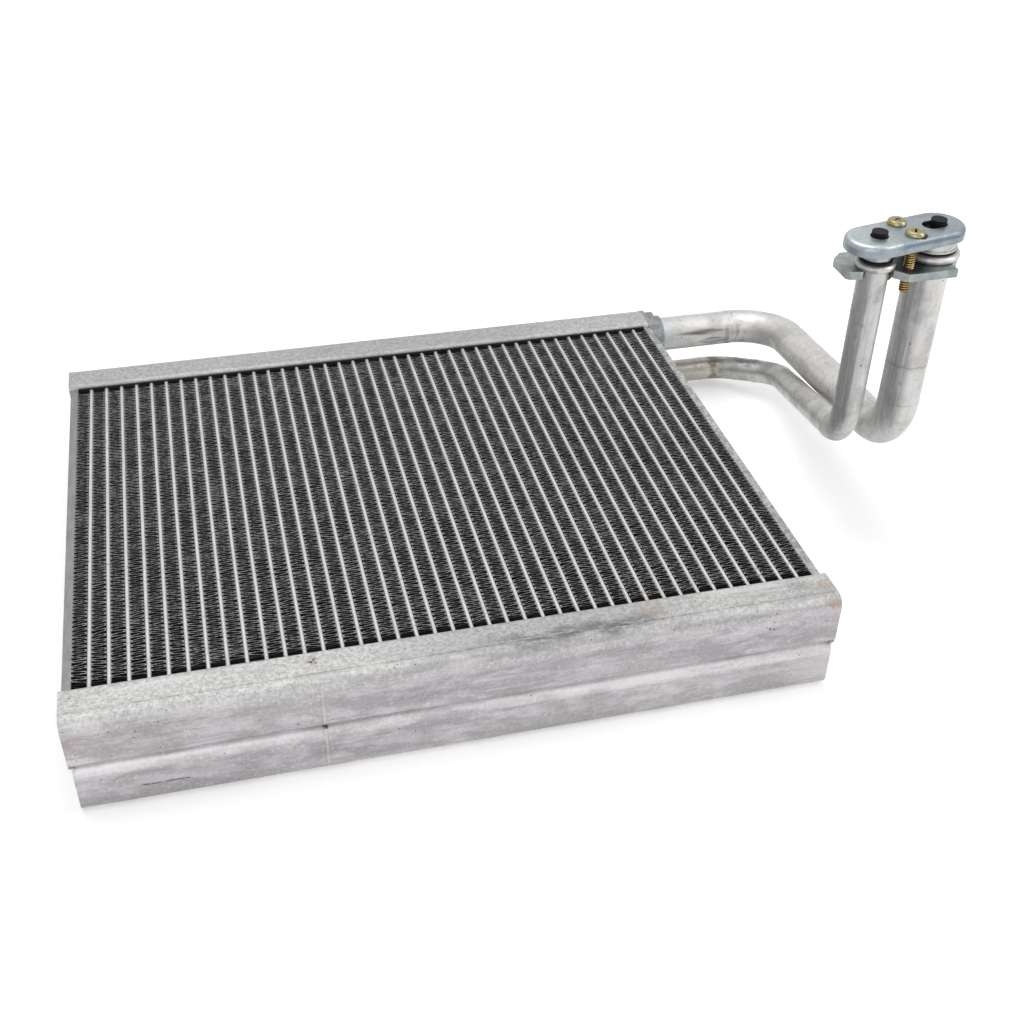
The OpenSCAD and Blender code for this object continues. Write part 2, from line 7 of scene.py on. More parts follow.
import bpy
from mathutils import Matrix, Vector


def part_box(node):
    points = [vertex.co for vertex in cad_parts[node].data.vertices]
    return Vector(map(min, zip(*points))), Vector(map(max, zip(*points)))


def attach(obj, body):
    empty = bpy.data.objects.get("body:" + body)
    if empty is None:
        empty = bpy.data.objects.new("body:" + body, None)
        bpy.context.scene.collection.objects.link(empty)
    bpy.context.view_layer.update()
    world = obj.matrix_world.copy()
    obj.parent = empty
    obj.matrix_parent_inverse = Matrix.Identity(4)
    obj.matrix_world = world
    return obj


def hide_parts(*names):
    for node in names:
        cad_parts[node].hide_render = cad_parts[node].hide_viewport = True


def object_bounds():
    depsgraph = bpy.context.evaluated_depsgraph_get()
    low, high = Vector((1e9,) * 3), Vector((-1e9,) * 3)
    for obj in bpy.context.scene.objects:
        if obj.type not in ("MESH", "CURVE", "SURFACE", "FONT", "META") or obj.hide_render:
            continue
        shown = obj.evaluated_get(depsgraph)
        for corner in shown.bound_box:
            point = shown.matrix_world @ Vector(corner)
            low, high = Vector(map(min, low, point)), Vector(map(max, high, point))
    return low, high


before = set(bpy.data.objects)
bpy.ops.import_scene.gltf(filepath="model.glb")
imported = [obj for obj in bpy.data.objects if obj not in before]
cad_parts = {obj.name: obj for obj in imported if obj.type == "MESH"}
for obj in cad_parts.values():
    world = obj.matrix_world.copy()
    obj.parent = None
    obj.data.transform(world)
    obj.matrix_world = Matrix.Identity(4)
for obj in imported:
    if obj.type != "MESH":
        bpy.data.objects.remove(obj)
cad_low, cad_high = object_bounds()
print("CAD box, mm:", [round(1000 * v) for v in (*cad_low, *cad_high)])

# %% [markdown]
# Blender works in metres and this part is measured in millimetres, so one factor
# is named once. Nothing is drawn at random: noise that depends only on the place
# makes things uneven, so every run gives the same part.

# %% Units and helpers
import math

import bpy
from mathutils import Matrix, Vector

mm = 0.001


def size_of(node):
    low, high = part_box(node)
    return high - low


print("the part measures", [round(v / mm) for v in cad_high - cad_low], "mm")

# %% [markdown]
# A material is a small program. Written as nodes it is hard to read, so one class
# wraps a socket and turns plain arithmetic into Math nodes: `1 - mask` or
# `dirt * 0.4` reads as it would on paper. Everything else goes through `node`.

# %% Sockets as numbers
class Socket:
    def __init__(self, finish, link):
        self.finish, self.link = finish, link

    def math(self, operation, *others):
        """A Math node that takes this value first and then the others."""
        sockets = dict(enumerate((self, *others)))
        return self.finish.node("ShaderNodeMath", {"operation": operation}, sockets)

    def __add__(self, other):
        return self.math("ADD", other)

    def __sub__(self, other):
        return self.math("SUBTRACT", other)

    def __rsub__(self, other):
        return self.finish.node("ShaderNodeMath", {"operation": "SUBTRACT"}, {0: other, 1: self})

    def __mul__(self, other):
        return self.math("MULTIPLY", other)

    __radd__, __rmul__ = __add__, __mul__

    def between(self, low, high):
        """0 below low, 1 above high, and smooth in between."""
        settings = {"interpolation_type": "SMOOTHSTEP"}
        sockets = {"Value": self, "From Min": low, "From Max": high}
        return self.finish.node("ShaderNodeMapRange", settings, sockets)


# %% [markdown]
# A finish owns one material. Its patterns start from the place on the part, so
# they have real sizes and need no unwrapping, and a squeezed place gives streaks.
# `node` makes any kind of node, and the methods after it are the few patterns that
# the finishes share.

# %% Finish
class Finish:
    def __init__(self, name, roughness, metallic):
        self.material = bpy.data.materials.new(name)
        self.material.use_nodes = True
        self.tree = self.material.node_tree
        self.shader = self.tree.nodes["Principled BSDF"]
        self.set("Roughness", roughness)
        self.set("Metallic", metallic)
        self.place = self.node("ShaderNodeTexCoord", out="Object")

    def node(self, kind, settings=None, sockets=None, out=0):
        made = self.tree.nodes.new(kind)
        for key, value in (settings or {}).items():
            if key == "stops":
                ramp = made.color_ramp.elements
                while len(ramp) < len(value):
                    ramp.new(0.5)
                for stop, (at, colour) in zip(ramp, value):
                    stop.position, stop.color = at, (*colour, 1)
            else:
                setattr(made, key, value)
        for key, value in (sockets or {}).items():
            self.feed(made.inputs[key], value)
        return Socket(self, made.outputs[out])

    def feed(self, socket, value):
        if isinstance(value, Socket):
            self.tree.links.new(value.link, socket)
        elif isinstance(value, (tuple, list)) and len(value) == 3 and socket.type == "RGBA":
            socket.default_value = (*value, 1)
        else:
            socket.default_value = value

    def set(self, name, value):
        self.feed(self.shader.inputs[name], value)

    def stretched(self, x=1, y=1, z=1):
        """The place on the part, squeezed so that a pattern runs longer along one direction."""
        sockets = {0: self.place, 1: (x, y, z)}
        return self.node("ShaderNodeVectorMath", {"operation": "MULTIPLY"}, sockets)

    def axis(self, name):
        return self.node("ShaderNodeSeparateXYZ", None, {0: self.place}, out=name)

    def noise(self, size, detail=3, rough=0.5, at=None):
        """Cloudy noise whose blobs are about size wide, in metres."""
        sockets = {"Vector": at or self.place, "Scale": 1 / size, "Detail": detail, "Roughness": rough}
        return self.node("ShaderNodeTexNoise", None, sockets)

    def cells(self, size, at=None):
        return self.node("ShaderNodeTexVoronoi", None, {"Vector": at or self.place, "Scale": 1 / size})

    def mix(self, share, first, second):
        """A colour that goes from the first to the second as share goes from 0 to 1."""
        # a Mix node has sockets for each type of data: those of colours are 6, 7 and 2
        sockets = {0: share, 6: first, 7: second}
        return self.node("ShaderNodeMix", {"data_type": "RGBA"}, sockets, out=2)

    def near(self, point, radius):
        """1 near a point, and 0 beyond a radius from it."""
        sockets = {0: self.place, 1: point}
        gap = self.node("ShaderNodeVectorMath", {"operation": "DISTANCE"}, sockets, out="Value")
        return 1 - gap.between(radius * 0.4, radius)

    def bump(self, height, depth, strength=1.0):
        sockets = {"Height": height, "Distance": depth, "Strength": strength}
        self.set("Normal", self.node("ShaderNodeBump", None, sockets))


# %% [markdown]
# The finishes change with the place on the part, so the places that they need are
# read from the frame: how high the tanks are, where the baffles' seam is and where
# the core ends. Flux dried on the shoulder under the flange and on the roll under
# the groove, where a highlight is painted as well, and the groove between the two
# chambers gets painted shade.

# %% Places on the tanks
front_low, front_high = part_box("front_tank")
rear_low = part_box("rear_tank")[0]
tank_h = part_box("front_header_plate")[1].z
tank_middle = (front_low.y + front_high.y) / 2
baffle_x = sum(corner.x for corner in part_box("front_upper_baffle")) / 2
core_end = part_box("right_side_plate")[0].x
shoulder_z = tank_h - 4.2 * mm
groove_z = tank_h / 2 + 0.7 * mm
roll_z = tank_h / 2 - 1.4 * mm
print(f"tanks {tank_h / mm:.1f} mm high")
print(f"seam at {baffle_x / mm:.1f} mm, core's end at {core_end / mm:.1f} mm")

# %% [markdown]
# Tanks, header plates, end caps and baffles went through the same brazing furnace,
# so they share one finish that changes with place. The flat tops hold the flux: a
# grey crust of fine light and dark grains, with pale streaks along it. The upright
# faces are smooth and faintly lilac, with soft blotches, drawing lines along the
# tank and a few black specks. Melted flux ran down and set as pale bands on the
# shoulder and just under the groove, and a painted highlight lies on these bands,
# brightest on the roll under the groove. The groove itself gets painted shade.

# %% Brazed aluminium
def band(value, middle, half):
    """1 at a value and 0 further from it than half."""
    gap = (value - middle).math("ABSOLUTE")
    return 1 - gap.between(half * 0.25, half)


def brazed(name):
    f = Finish(name, 0.45, 0.5)
    x, y, z = f.axis("X"), f.axis("Y"), f.axis("Z")
    drift = f.noise(26 * mm, 4, 0.6, f.stretched(0.35, 1, 1))
    patch = f.noise(10 * mm, 6, 0.72, f.stretched(0.4, 1.3, 1.3))
    broad = f.noise(17 * mm, 6, 0.7, f.stretched(0.5, 1, 1.2))
    grain = f.noise(1.4 * mm, 5, 0.8)
    fine = f.noise(0.7 * mm, 2, 0.5)
    lines = f.noise(1.2 * mm, 5, 0.7, f.stretched(0.03, 1, 1))

    # smooth lilac metal, darker where the flux stayed away, frosted where it dried
    face = f.mix(patch.between(0.43, 0.58) * 0.9, (0.54, 0.508, 0.535), (0.355, 0.335, 0.352))
    face = f.mix(drift.between(0.48, 0.6) * 0.6, face, (0.64, 0.615, 0.633))
    face = f.mix(broad.between(0.45, 0.6) * 0.6, face, (0.30, 0.285, 0.298))
    face = f.mix(lines.between(0.53, 0.7) * 0.5, face, (0.27, 0.255, 0.265))
    face = f.mix((1 - lines.between(0.32, 0.44)) * 0.4, face, (0.68, 0.665, 0.675))
    frost = 1 - patch.between(0.36, 0.46)
    face = f.mix(frost * grain.between(0.42, 0.6) * 0.6, face, (0.70, 0.69, 0.70))
    face = f.mix(grain.between(0.52, 0.66) * 0.5, face, (0.68, 0.67, 0.67))
    face = f.mix((1 - fine.between(0.3, 0.38)) * 0.4, face, (0.27, 0.25, 0.26))

    crust = f.mix(grain.between(0.38, 0.62), (0.39, 0.39, 0.38), (0.60, 0.605, 0.595))
    crust = f.mix((1 - fine.between(0.32, 0.4)) * 0.45, crust, (0.22, 0.22, 0.215))
    crust = f.mix(patch.between(0.5, 0.6) * 0.45, crust, (0.36, 0.36, 0.355))
    streak = f.noise(5 * mm, 5, 0.7, f.stretched(0.12, 1, 1))
    crust = f.mix(streak.between(0.56, 0.68) * 0.5, crust, (0.68, 0.685, 0.68))
    # the crust thins out to the right, and on the rear tank
    worn = band(x, 25 * mm, 75 * mm) * 0.7
    worn = worn + y.between(40 * mm, 160 * mm) * (0.6 - x.between(-90 * mm, 60 * mm) * 0.3)
    rubbed = f.mix(grain.between(0.38, 0.62), (0.27, 0.265, 0.27), (0.41, 0.405, 0.41))
    crust = f.mix(worn.math("MINIMUM", 0.75), crust, rubbed)

    top = (z + drift * 5 * mm).between(tank_h - 1.2 * mm, tank_h + 2.6 * mm)
    colour = f.mix(top, face, crust)
    # pale bands on the shoulder and the roll: dried flux and a painted highlight
    shoulder = band(z, shoulder_z, 2.4 * mm) * patch.between(0.38, 0.56)
    roll = band(z + streak * 3 * mm, roll_z, 3.2 * mm) * drift.between(0.34, 0.54)
    flux = (shoulder * 0.8 + roll).math("MINIMUM", 1.0) * (0.3 + grain.between(0.42, 0.6) * 0.7)
    colour = f.mix(flux * 0.7, colour, (0.74, 0.73, 0.74))
    # a painted highlight along the roll under the groove
    colour = f.mix(roll * 0.45, colour, (0.82, 0.81, 0.82))
    seam = band(x - grain * 0.4 * mm, baffle_x, 0.7 * mm) * (1 - top) * patch.between(0.3, 0.5)
    colour = f.mix(seam * lines.between(0.4, 0.6) * 0.5, colour, (0.72, 0.70, 0.71))
    shade = band(z, groove_z, 1.1 * mm) * drift.between(0.36, 0.52)
    colour = f.mix(shade * 0.75, colour, (0.14, 0.13, 0.14))
    specks = (1 - f.cells(3.2 * mm).between(0.06, 0.11)) * f.noise(12 * mm).between(0.5, 0.56)
    colour = f.mix(specks * 0.85, colour, (0.05, 0.045, 0.045))

    # the webs face the fins and are painted near black: painted shade, as no light gets there, with
    # some furnace soot
    web = y.between(front_high.y - 0.6 * mm, front_high.y)
    web = web * (1 - y.between(rear_low.y, rear_low.y + 0.6 * mm))
    web = web * (1 - x.math("ABSOLUTE").between(core_end - 0.5 * mm, core_end))
    web = web * (1 - z.between(tank_h - 1.6 * mm, tank_h - 0.6 * mm))
    colour = f.mix(web, colour, (0.025, 0.023, 0.023))
    f.colour = colour
    f.set("Base Color", colour)
    f.set("Roughness", 0.36 + top * 0.16 + flux * 0.16 + frost * 0.08 + grain * 0.1)
    relief = grain * 0.6 + lines * 0.4 + drift * 2.0 + patch * 1.2 + flux * 0.8 - specks * 1.2
    f.bump(relief, 0.05 * mm, 0.8)
    return f


tank_finish = brazed("tank_aluminium")
print("tank finish:", len(tank_finish.tree.nodes), "nodes")

# %% [markdown]
# A few marks belong to this one core: a rust-brown spot on the front flange beside
# the baffle, orange and tan stains at both front corners, black specks under the
# flange at the right, a black dot where the baffle's seam crosses the groove, and a
# thin crooked scratch low on the front face. Right of the middle the front flange
# is smeared with grime. Each mark is a soft ball or line of colour at a place on
# the part, broken up by noise so that its edge is ragged.

# %% Stains and scratches
def stain(f, point, radius, colour, amount, grain=1.5):
    """A ragged spot of colour; point and sizes are in millimetres."""
    ragged = f.noise(grain * mm, 4, 0.7).between(0.38, 0.6)
    ragged = f.near(tuple(v * mm for v in point), radius * mm) * ragged
    f.colour = f.mix(ragged * amount, f.colour, colour)
    f.set("Base Color", f.colour)


def grime(f, x0, x1, y, half, colour):
    """A long dull smear on a flange, from x0 to x1 beside the line at y."""
    across = f.axis("Y") + (f.noise(9 * mm, 3, 0.6) - 0.5) * 8 * mm
    smear = band(across, y, half) * band(f.axis("X"), (x0 + x1) / 2, (x1 - x0) / 2)
    cloudy = f.noise(4.5 * mm, 5, 0.75, f.stretched(0.3, 1, 1)).between(0.38, 0.56)
    on_top = f.axis("Z").between(tank_h - 3 * mm, tank_h)
    f.colour = f.mix(smear * cloudy * on_top * 0.8, f.colour, colour)
    f.set("Base Color", f.colour)


def scratch(f, x0, x1, z, wander, thin):
    """A crooked dark line on the front face, from x0 to x1 at about the height z."""
    x, y = f.axis("X"), f.axis("Y")
    height = f.axis("Z") - f.noise(5 * mm, 4, 0.8, f.stretched(1, 0, 0)) * wander
    line = band(height, z, thin) * band(x, (x0 + x1) / 2, (x1 - x0) / 2).between(0, 0.1)
    front = 1 - y.between(tank_middle - 6 * mm, tank_middle - 5 * mm)
    broken = f.noise(1.2 * mm).between(0.35, 0.5)
    f.colour = f.mix(line * front * broken, f.colour, (0.04, 0.035, 0.035))
    f.set("Base Color", f.colour)


top_mm, end_mm = tank_h / mm, front_high.x / mm
rust, orange, tan = (0.15, 0.065, 0.035), (0.45, 0.25, 0.13), (0.38, 0.29, 0.23)
smudge, black = (0.15, 0.155, 0.15), (0.02, 0.02, 0.02)
# each row has a place, a radius, a colour, an amount and the grain of the edge
stains = (
    ((-52.6, 2.9, top_mm), 2.5, rust, 1.0, 1.1),
    ((end_mm - 1.5, 1.0, top_mm), 3.6, orange, 0.5, 1.1),
    ((end_mm - 1.2, -7.3, top_mm - 2.4), 3.4, orange, 0.55, 1.1),
    ((end_mm - 12, 3, top_mm), 5, smudge, 0.5, 1.2),
    ((65.4, 2.3, top_mm), 7, tan, 0.55, 1.5),
    ((-131, -7, 33), 4, tan, 0.5, 1.0),
    ((107.3, -8.2, 32.9), 0.7, black, 1.0, 3.0),
    ((108.9, -8.2, 32.4), 0.55, black, 1.0, 3.0),
    ((105.9, -8.2, 33.7), 0.5, black, 1.0, 3.0),
    ((baffle_x / mm, -6.8, 19.9), 1.5, black, 1.0, 4.0),
)
for point, radius, colour, amount, grain in stains:
    stain(tank_finish, point, radius, colour, amount, grain)
grime(tank_finish, -6 * mm, 80 * mm, y=-3.2 * mm, half=5 * mm, colour=(0.10, 0.105, 0.10))
scratch(tank_finish, -113.5 * mm, -96.3 * mm, z=7.9 * mm, wander=1.2 * mm, thin=0.3 * mm)
print(len(stains), "stains, one smear and one scratch")

# %% [markdown]
# The flat tubes show only their rounded edges. They are bare extrusions, paler
# than the fins, with a little dirt where the fins touch them. The left side plate
# is bare and dull, and the right one is crusted with dried flux.

# %% Tubes and side plates
def extruded(name, metal, dirt, rough):
    f = Finish(name, rough, 0.55)
    along = f.noise(3 * mm, 4, 0.7, f.stretched(1, 0.25, 1)).between(0.35, 0.75)
    spots = f.noise(1.3 * mm, 3, 0.6).between(0.62, 0.7)
    f.colour = f.mix(spots * 0.7, f.mix(along * 0.5, metal, dirt), (0.14, 0.13, 0.12))
    f.set("Base Color", f.colour)
    f.set("Roughness", rough + along * 0.15)
    f.bump(along + spots, 0.03 * mm, 0.6)
    return f


def crusted(f, start, end):
    """Pale dried flux that grows from start to end across the part."""
    grain = f.noise(1.6 * mm, 5, 0.8)
    flecks = f.mix(grain.between(0.4, 0.6), (0.27, 0.275, 0.275), (0.53, 0.54, 0.535))
    flecks = f.mix(f.noise(5 * mm, 4, 0.7).between(0.5, 0.6) * 0.7, flecks, (0.22, 0.23, 0.23))
    f.set("Base Color", f.mix(f.axis("X").between(start, end), f.colour, flecks))


tube_finish = extruded("tube_aluminium", (0.64, 0.63, 0.61), (0.42, 0.41, 0.39), 0.45)
side_finish = extruded("side_aluminium", (0.27, 0.267, 0.265), (0.14, 0.138, 0.135), 0.5)
crusted(side_finish, -10 * mm, 10 * mm)
print("finishes:", tube_finish.material.name, side_finish.material.name)

# %% [markdown]
# The tubes stand at an even distance. The two runs of the upper row hold a known
# number of tubes, so their lengths give that distance and how thick one tube is.
# Both the colour of the fins and their mesh need these.

# %% Tube spacing
tubes_left, tubes_right = 12, 28
left_run, right_run = (size_of(f"upper_tubes_{side}_of_baffle").x for side in ("left", "right"))
pitch = (right_run - left_run) / (tubes_right - tubes_left)
tube_t = left_run - (tubes_left - 1) * pitch
tube_low, tube_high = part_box("upper_tubes_left_of_baffle")
first_tube_x = tube_low.x + tube_t / 2
core_top, core_bottom = tube_high.z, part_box("lower_tubes_left_of_baffle")[0].z
fin_start, fin_end = (corner.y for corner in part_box("fin_group_1"))
print(f"tubes {pitch / mm:.2f} mm apart, {tube_t / mm:.2f} mm thick, from {tube_low.y / mm:.1f} mm")
print(f"fins from {fin_start / mm:.1f} to {fin_end / mm:.1f} mm")

# %% [markdown]
# Fins look almost black in the gaps, because light that enters is lost between
# the webs, so the sheet is painted nearly black as that shade. Only its cut upper
# and lower edges are bare, so the colour changes with height, and these edges
# carry painted highlights: glints, the fold tips beside the tubes and a few bent
# places. Near the header plates the edges stay dark as painted shade.

# %% Fin sheet
def fin_sheet():
    f = Finish("fin_aluminium", 0.5, 0.45)
    x, y, height = f.axis("X"), f.axis("Y"), f.axis("Z")
    edge = height.between(core_top - 0.5 * mm, core_top - 0.08 * mm)
    edge = edge + (1 - height.between(core_bottom + 0.08 * mm, core_bottom + 0.5 * mm))
    # near the header plates the edges stay as dark as the sheet: painted shade
    edge = edge * y.between(fin_start + 1.2 * mm, fin_start + 3.4 * mm)
    edge = edge * (1 - y.between(fin_end - 2 * mm, fin_end))
    # how far a point is from the middle of the next tube, in tube pitches
    beside = ((x - first_tube_x) * (1 / pitch)).math("FRACT")
    beside = 0.5 - (beside - 0.5).math("ABSOLUTE")
    # a painted highlight on the fold tips beside each tube
    tip = 1 - beside.between((tube_t / 2 + 0.35 * mm) / pitch, (tube_t / 2 + 1.0 * mm) / pitch)
    # painted glints along the bare edges
    glint = f.noise(1.6 * mm, 3, 0.8).between(0.44, 0.64)
    # pale spots where the foil is bent: painted glint, with some dust
    bent_glint_and_dust = 1 - f.cells(17 * mm).between(0.05, 0.09)
    web = f.mix(glint, (0.16, 0.16, 0.165), (0.62, 0.615, 0.61))
    bare = f.mix(tip * 0.85, web, (0.86, 0.855, 0.85))
    bare = f.mix(bent_glint_and_dust * 0.8, bare, (0.85, 0.85, 0.84))
    # the sheet is painted nearly black as the shade between the webs
    f.set("Base Color", f.mix(edge, (0.010, 0.010, 0.012), bare))
    f.set("Metallic", edge * 0.4)
    f.set("Specular IOR Level", 0.25)
    f.set("Roughness", 0.6 - edge * 0.2)
    return f


fin_finish = fin_sheet()
print("fin sheet:", len(fin_finish.tree.nodes), "nodes")

# %% [markdown]
# The pipes are drawn tube, bent on a machine. Drawing lines follow the pipe, so
# each of its three runs gets its own stretched noise: along X from the tank, along
# Y in the middle and along Z in the upright end. The uprights are dull on their
# left side and carry painted shade there, broken into streaks.

# %% Drawn pipe
# the direction, seen from above, that points to the right in the photograph
right_x, right_y = 0.967, -0.253


def on_first_run(f):
    """1 on the run along X, which leaves the tank, and 0 on what is in front of it."""
    return f.axis("Y").between(190 * mm, 194 * mm)


def along_pipe(f, size):
    """Noise in long lines that follow the run that a point belongs to."""
    y, z = f.axis("Y"), f.axis("Z")
    squeezes = ((0.05, 1, 1), (1, 0.05, 1), (1, 1, 0.05))
    runs = [f.noise(size, 5, 0.7, f.stretched(*squeeze)) for squeeze in squeezes]
    level = 1 - y.between(192 * mm, 198 * mm)
    upright = z.between(50 * mm, 60 * mm)
    return runs[0] * (1 - level) + runs[1] * (level * (1 - upright)) + runs[2] * upright


def drawn_pipe(name, metal, dark, rough, ring, left):
    """A pipe whose upright end stands in a seal ring; left is where the painted shade on its upright
    lies.
    """
    f = Finish(name, rough, 0.85)
    cloud = f.noise(13 * mm, 5, 0.65).between(0.42, 0.64)
    grain = f.noise(0.7 * mm, 4, 0.75)
    lines = along_pipe(f, 2.4 * mm)
    thin = along_pipe(f, 0.9 * mm)
    scuffs = f.noise(4 * mm, 5, 0.75).between(0.58, 0.68)
    colour = f.mix(cloud * 0.6, metal, dark)
    colour = f.mix(lines.between(0.46, 0.66) * 0.4, colour, dark)
    colour = f.mix(thin.between(0.55, 0.7) * 0.35, colour, (0.86, 0.86, 0.86))
    colour = f.mix(scuffs * 0.5, colour, (0.27, 0.255, 0.245))
    colour = f.mix((1 - grain.between(0.3, 0.4)) * 0.5, colour, (0.3, 0.29, 0.28))

    low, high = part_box(ring)
    middle_x, middle_y = (low.x + high.x) / 2, (low.y + high.y) / 2
    x, y, z = f.axis("X"), f.axis("Y"), f.axis("Z")
    # about -1 at the left side of the pipe and 1 at its right side
    across = ((x - middle_x) * right_x + (y - middle_y) * right_y) * (2 / (high.x - low.x))
    # painted shade down the left side of the uprights, broken into streaks
    side = (1 - (across - left).math("ABSOLUTE").between(0.05, 0.6)) * z.between(42 * mm, 75 * mm)
    colour = f.mix(side * (0.2 + lines.between(0.36, 0.6) * 0.55), colour, (0.22, 0.23, 0.245))
    pits = (1 - f.cells(5 * mm).between(0.05, 0.09)) * f.noise(18 * mm).between(0.48, 0.55)
    f.colour = f.mix(pits * 0.9, colour, (0.06, 0.055, 0.05))
    f.set("Base Color", f.colour)
    f.set("Roughness", rough + cloud * 0.14 + scuffs * 0.12 + side * 0.08)
    f.bump(grain * 0.5 + cloud + scuffs + lines * 0.6 - pits, 0.04 * mm, 0.7)
    return f


suction_finish = drawn_pipe("suction_aluminium", metal=(0.60, 0.592, 0.58), dark=(0.40, 0.394, 0.385),
                            rough=0.46, ring="suction_seal_ring", left=-0.5)
liquid_finish = drawn_pipe("liquid_aluminium", metal=(0.55, 0.542, 0.53), dark=(0.31, 0.306, 0.30),
                           rough=0.38, ring="liquid_seal_ring", left=-0.45)
print("finishes:", suction_finish.material.name, liquid_finish.material.name)

# %% [markdown]
# The furnace left brown and soot round the pipes, the bender pressed wrinkles into
# them, which get painted shade, and a bright room leaves long dark reflections on a
# bowed tube. Each of these is painted at its place, given in millimetres along the run.

# %% Marks on the pipes
def ringed(f, axis_name, at, half, colour, amount, below=200):
    """A ragged stain, or the painted shade of a pinch, round the pipe, at one place of a run and under
    a height.
    """
    ring = band(f.axis(axis_name) + f.noise(2.5 * mm, 4, 0.7) * 3 * mm, (at + 1.5) * mm, half * mm)
    ring = ring * (1 - f.axis("Z").between((below - 2) * mm, (below + 2) * mm))
    if axis_name == "X":
        ring = ring * on_first_run(f)
    f.colour = f.mix(ring * f.noise(1.8 * mm, 4, 0.7).between(0.3, 0.6) * amount, f.colour, colour)
    f.set("Base Color", f.colour)


def wrinkled(f, x0, x1, below):
    """Painted shade in the fine uneven wrinkles that the bender pressed into the front of a bend."""
    wrinkle_shade = f.noise(1.1 * mm, 3, 0.6, f.stretched(1, 0.07, 0.07)).between(0.47, 0.62)
    where = band(f.axis("X"), (x0 + x1) / 2 * mm, (x1 - x0) / 2 * mm) * on_first_run(f)
    where = where * (1 - f.axis("Z").between((below - 4) * mm, (below + 2) * mm))
    f.colour = f.mix(wrinkle_shade * where * 0.6, f.colour, (0.17, 0.16, 0.15))
    f.set("Base Color", f.colour)


def reflection(f, x0, x1, z, half, amount):
    """The dark mark, pointed at both ends, that a bright studio leaves on a bowed pipe."""
    lens = 1 - ((f.axis("X") - (x0 + x1) / 2 * mm).math("ABSOLUTE") * (2 / ((x1 - x0) * mm)))
    gap = (f.axis("Z") + f.noise(5 * mm, 4, 0.6) * 1.2 * mm - (z + 0.6) * mm).math("ABSOLUTE")
    mark = (lens.math("SQRT") * half * mm - gap).between(0, 1.2 * mm) * on_first_run(f)
    front = 1 - f.axis("Y").between(204 * mm, 206 * mm)
    streaky = 0.4 + along_pipe(f, 1.2 * mm).between(0.35, 0.6) * 0.6
    f.colour = f.mix(mark * front * streaky * amount, f.colour, (0.13, 0.125, 0.12))
    f.set("Base Color", f.colour)


# this dark is soot on the liquid pipe, and painted shade in the pinch of the suction bend
furnace, soot_and_crease_shade = (0.27, 0.21, 0.15), (0.13, 0.125, 0.12)
ringed(liquid_finish, "X", at=171, half=4.5, colour=furnace, amount=0.9)
ringed(liquid_finish, "X", at=169.5, half=2.6, colour=soot_and_crease_shade, amount=0.9)
ringed(liquid_finish, "X", at=158, half=17, colour=(0.40, 0.35, 0.28), amount=0.6)
wrinkled(suction_finish, 172, 186, below=35)
# a dark ring of painted shade in the pinch where the bend starts
ringed(suction_finish, "X", at=174, half=1.6, colour=soot_and_crease_shade, amount=0.45, below=35)
ringed(suction_finish, "X", at=137, half=13, colour=(0.44, 0.51, 0.535), amount=1.0)
# a thin dark ring where the upright's bend starts
ringed(suction_finish, "Z", at=88.5, half=0.7, colour=soot_and_crease_shade, amount=0.4)
reflection(suction_finish, 146, 176, z=33.4, half=1.9, amount=0.9)
reflection(suction_finish, 158, 176, z=28.4, half=2.6, amount=0.8)
reflection(liquid_finish, 173, 196, z=16.8, half=2.4, amount=0.8)
print("nodes on the pipes:", len(suction_finish.tree.nodes), "and", len(liquid_finish.tree.nodes))

# %% [markdown]
# The end plate belongs to the rear tank and looks like it, and the block outside
# it is duller and bluish. One finish covers both, and changes where the tank ends.

# %% Port block
def block_metal():
    """Tank metal as far as the tank's end, and the duller metal beyond it."""
    f = Finish("block_aluminium", 0.42, 0.7)
    cloud = f.noise(9 * mm, 5, 0.65).between(0.42, 0.64)
    grain = f.noise(1.1 * mm, 4, 0.75)
    outside = f.axis("X").between(front_high.x - 0.1 * mm, front_high.x + 0.1 * mm)
    dull = f.mix(cloud * 0.7, (0.29, 0.30, 0.315), (0.17, 0.18, 0.195))
    colour = f.mix(outside, (0.45, 0.43, 0.445), dull)
    f.set("Base Color", f.mix(grain.between(0.5, 0.7) * 0.5, colour, (0.55, 0.56, 0.57)))
    f.set("Roughness", 0.38 + cloud * 0.14)
    f.bump(grain + cloud, 0.05 * mm, 0.7)
    return f


block_finish = block_metal()
print("the block is dull beyond", round(front_high.x / mm, 1), "mm")

# %% [markdown]
# Zinc plating is bluish and slightly cloudy, with a fine crystal grain. The cap's
# flat top is painted light, most at the left, and its rim at the right carries a
# painted dark reflection.

